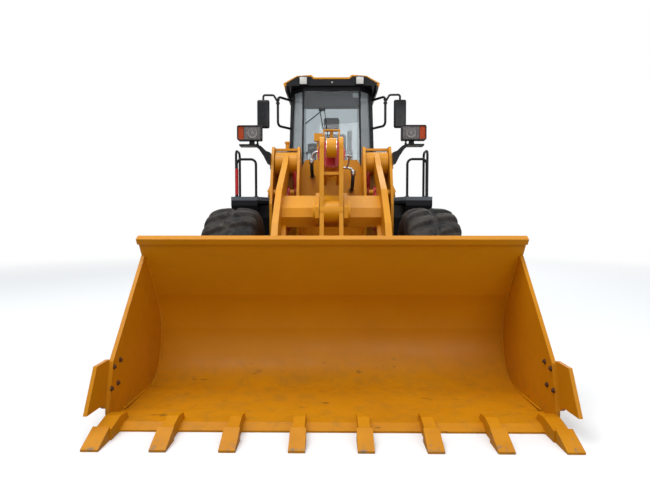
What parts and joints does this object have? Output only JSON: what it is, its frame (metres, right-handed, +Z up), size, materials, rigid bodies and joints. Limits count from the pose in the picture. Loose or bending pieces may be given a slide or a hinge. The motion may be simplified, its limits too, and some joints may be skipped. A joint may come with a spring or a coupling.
{
  "type": "wheel loader",
  "caption": "A wheel loader hinged in the middle, with a wide toothed bucket on two lifting arms, a glazed cab with side decks and rails, a rear engine hood and large lugged tyres.",
  "frame": {"origin": "on the ground, at the middle of the bottom of the bounding box, in the plane of symmetry", "axes": "+Z up, the bucket faces -Y, +Y runs along the machine to its tail, +X across it to the machine's left"},
  "size_m": [3.05, 7.95, 3.45],
  "materials": {
    "paint_yellow": "semi-gloss loader yellow, dusty",
    "bucket_paint": "yellow paint, scratched and dirty inside",
    "dark_paint": "satin dark grey",
    "axle_paint": "yellow paint over castings, dusty",
    "cylinder_red": "red gloss paint",
    "rod_chrome": "hard chromed",
    "pin_steel": "greased steel",
    "tyre_rubber": "matt black, dusty",
    "rim_yellow": "semi-gloss yellow",
    "cab_glass": "clear, faintly green",
    "lamp_lens": "clear lens in a black case",
    "rear_lens": "red lens",
    "seat_fabric": "dark grey weave",
    "black_plastic": "matt black",
    "engine_iron": "dull cast metal"
  },
  "bodies": {
    "rear_chassis": {"rear_frame": "paint_yellow", "rear_axle": "axle_paint", "engine_block": "engine_iron", "engine_hood": "paint_yellow", "radiator_grille": "dark_paint", "counterweight": "paint_yellow", "exhaust_and_intake": "dark_paint", "cab_shell": "dark_paint", "cab_glass": "cab_glass", "cab_roof": "paint_yellow", "work_lamps": "lamp_lens", "operator_seat": "seat_fabric", "steering_column": "black_plastic", "decks": "dark_paint", "tanks": "paint_yellow", "rear_fenders": "paint_yellow", "handrails": "dark_paint", "ladders": "dark_paint", "mirrors": "black_plastic", "rear_lamps": "rear_lens"},
    "front_chassis": {"front_frame": "paint_yellow", "front_axle": "axle_paint", "headlamps": "lamp_lens", "lamp_brackets": "dark_paint", "tilt_base_pin": "pin_steel"},
    "boom": {"boom": "paint_yellow"},
    "bucket_pins": {"bucket_pins": "pin_steel"},
    "bucket": {"bucket": "bucket_paint", "cutting_edge": "bucket_paint", "bucket_teeth": "bucket_paint"},
    "crank_pin": {"crank_pin": "pin_steel"},
    "bellcrank": {"bellcrank": "paint_yellow"},
    "link_pin": {"link_pin": "pin_steel"},
    "bucket_link": {"bucket_link": "paint_yellow"},
    "tilt_barrel": {"tilt_barrel": "cylinder_red"},
    "tilt_rod": {"tilt_rod": "rod_chrome"},
    "lift_barrel_left": {"lift_barrel_left": "cylinder_red"},
    "lift_rod_left": {"lift_rod_left": "rod_chrome"},
    "steer_barrel_left": {"steer_barrel_left": "cylinder_red"},
    "steer_rod_left": {"steer_rod_left": "rod_chrome"},
    "door_left": {"door_left": "dark_paint", "door_glass_left": "cab_glass"},
    "lift_barrel_right": {"lift_barrel_right": "cylinder_red"},
    "lift_rod_right": {"lift_rod_right": "rod_chrome"},
    "steer_barrel_right": {"steer_barrel_right": "cylinder_red"},
    "steer_rod_right": {"steer_rod_right": "rod_chrome"},
    "door_right": {"door_right": "dark_paint", "door_glass_right": "cab_glass"},
    "wheel_front_left": {"tyre_front_left": "tyre_rubber", "rim_front_left": "rim_yellow"},
    "wheel_front_right": {"tyre_front_right": "tyre_rubber", "rim_front_right": "rim_yellow"},
    "wheel_rear_left": {"tyre_rear_left": "tyre_rubber", "rim_rear_left": "rim_yellow"},
    "wheel_rear_right": {"tyre_rear_right": "tyre_rubber", "rim_rear_right": "rim_yellow"}
  },
  "joints": [
    {"name": "articulation", "type": "hinge", "parent": "rear_chassis", "child": "front_chassis", "pos_m": [0, 0.215, 0.87], "axis": [0, 0, 1], "range_deg": [-35, 35]},
    {"name": "boom_lift", "type": "hinge", "parent": "front_chassis", "child": "boom", "pos_m": [0, -0.455, 2.08], "axis": [-1, 0, 0], "range_deg": [0, 84]},
    {"name": "bucket_carry", "type": "hinge", "parent": "boom", "child": "bucket_pins", "pos_m": [0, -2.425, 0.32], "axis": [1, 0, 0], "range_deg": [-0.05, 73.97]},
    {"name": "bucket_tilt", "type": "hinge", "parent": "bucket_pins", "child": "bucket", "pos_m": [0, -2.425, 0.32], "axis": [1, 0, 0], "range_deg": [-42, 45]},
    {"name": "crank_carry", "type": "hinge", "parent": "boom", "child": "crank_pin", "pos_m": [0, -1.665, 1.458], "axis": [1, 0, 0], "range_deg": [-9.86, 0.05]},
    {"name": "crank_tilt", "type": "hinge", "parent": "crank_pin", "child": "bellcrank", "pos_m": [0, -1.665, 1.458], "axis": [1, 0, 0], "range_deg": [-5.46, 5.1]},
    {"name": "link_carry", "type": "hinge", "parent": "bucket", "child": "link_pin", "pos_m": [0, -2.445, 0.52], "axis": [1, 0, 0], "range_deg": [-49.82, 0.05]},
    {"name": "link_tilt", "type": "hinge", "parent": "link_pin", "child": "bucket_link", "pos_m": [0, -2.445, 0.52], "axis": [1, 0, 0], "range_deg": [-35.84, 33.45]},
    {"name": "tilt_swing", "type": "hinge", "parent": "front_chassis", "child": "tilt_barrel", "pos_m": [0, -0.5, 2.012], "axis": [1, 0, 0], "range_deg": [-82.79, 0.05]},
    {"name": "tilt_stroke", "type": "slide", "parent": "tilt_barrel", "child": "tilt_rod", "axis": [0, -0.9963, 0.0856], "range_m": [-0.0644, 0.0603]},
    {"name": "lift_swing_left", "type": "hinge", "parent": "front_chassis", "child": "lift_barrel_left", "pos_m": [0.56, -0.685, 1.7], "axis": [1, 0, 0], "range_deg": [-93.86, 0.05]},
    {"name": "lift_stroke_left", "type": "slide", "parent": "lift_barrel_left", "child": "lift_rod_left", "axis": [0, -0.7647, -0.6444], "range_m": [0, 0.5453]},
    {"name": "steer_swing_left", "type": "hinge", "parent": "rear_chassis", "child": "steer_barrel_left", "pos_m": [0.33, 0.965, 0.96], "axis": [0, 0, 1], "range_deg": [-11.39, 11.39]},
    {"name": "steer_stroke_left", "type": "slide", "parent": "steer_barrel_left", "child": "steer_rod_left", "axis": [0.0948, -0.9955, 0], "range_m": [-0.2436, 0.2436]},
    {"name": "lift_swing_right", "type": "hinge", "parent": "front_chassis", "child": "lift_barrel_right", "pos_m": [-0.56, -0.685, 1.7], "axis": [1, 0, 0], "range_deg": [-93.86, 0.05]},
    {"name": "lift_stroke_right", "type": "slide", "parent": "lift_barrel_right", "child": "lift_rod_right", "axis": [0, -0.7647, -0.6444], "range_m": [0, 0.5453]},
    {"name": "steer_swing_right", "type": "hinge", "parent": "rear_chassis", "child": "steer_barrel_right", "pos_m": [-0.33, 0.965, 0.96], "axis": [0, 0, 1], "range_deg": [-11.39, 11.39]},
    {"name": "steer_stroke_right", "type": "slide", "parent": "steer_barrel_right", "child": "steer_rod_right", "axis": [-0.0948, -0.9955, 0], "range_m": [-0.2436, 0.2436]},
    {"name": "roll_front_left", "type": "hinge", "parent": "front_chassis", "child": "wheel_front_left", "pos_m": [1.04, -1.385, 0.75], "axis": [1, 0, 0], "continuous": true},
    {"name": "roll_front_right", "type": "hinge", "parent": "front_chassis", "child": "wheel_front_right", "pos_m": [-1.04, -1.385, 0.75], "axis": [1, 0, 0], "continuous": true},
    {"name": "roll_rear_left", "type": "hinge", "parent": "rear_chassis", "child": "wheel_rear_left", "pos_m": [1.04, 1.815, 0.75], "axis": [1, 0, 0], "continuous": true},
    {"name": "roll_rear_right", "type": "hinge", "parent": "rear_chassis", "child": "wheel_rear_right", "pos_m": [-1.04, 1.815, 0.75], "axis": [1, 0, 0], "continuous": true},
    {"name": "door_left", "type": "hinge", "parent": "rear_chassis", "child": "door_left", "pos_m": [0.669, 1.625, 2.4], "axis": [0, 0, 1], "range_deg": [0, 75]},
    {"name": "door_right", "type": "hinge", "parent": "rear_chassis", "child": "door_right", "pos_m": [-0.669, 1.625, 2.4], "axis": [0, 0, -1], "range_deg": [0, 75]}
  ],
  "couplings": [
    {"joint": "bucket_carry", "follows": "boom_lift", "ratio": 0.88},
    {"joint": "crank_carry", "follows": "boom_lift", "ratio": -0.11679},
    {"joint": "crank_tilt", "follows": "bucket_tilt", "ratio": -0.12031},
    {"joint": "link_carry", "follows": "boom_lift", "ratio": -0.59252},
    {"joint": "link_tilt", "follows": "bucket_tilt", "ratio": -0.79537},
    {"joint": "tilt_swing", "follows": "boom_lift", "ratio": -0.98501},
    {"joint": "tilt_stroke", "follows": "bucket_tilt", "m_per_rad": -0.07948},
    {"joint": "lift_swing_left", "follows": "boom_lift", "ratio": -1.1168},
    {"joint": "lift_stroke_left", "follows": "boom_lift", "m_per_rad": 0.37061},
    {"joint": "steer_swing_left", "follows": "articulation", "ratio": 0.32388},
    {"joint": "steer_stroke_left", "follows": "articulation", "m_per_rad": -0.39551},
    {"joint": "lift_swing_right", "follows": "boom_lift", "ratio": -1.1168},
    {"joint": "lift_stroke_right", "follows": "boom_lift", "m_per_rad": 0.37061},
    {"joint": "steer_swing_right", "follows": "articulation", "ratio": 0.32388},
    {"joint": "steer_stroke_right", "follows": "articulation", "m_per_rad": 0.39551}
  ]
}
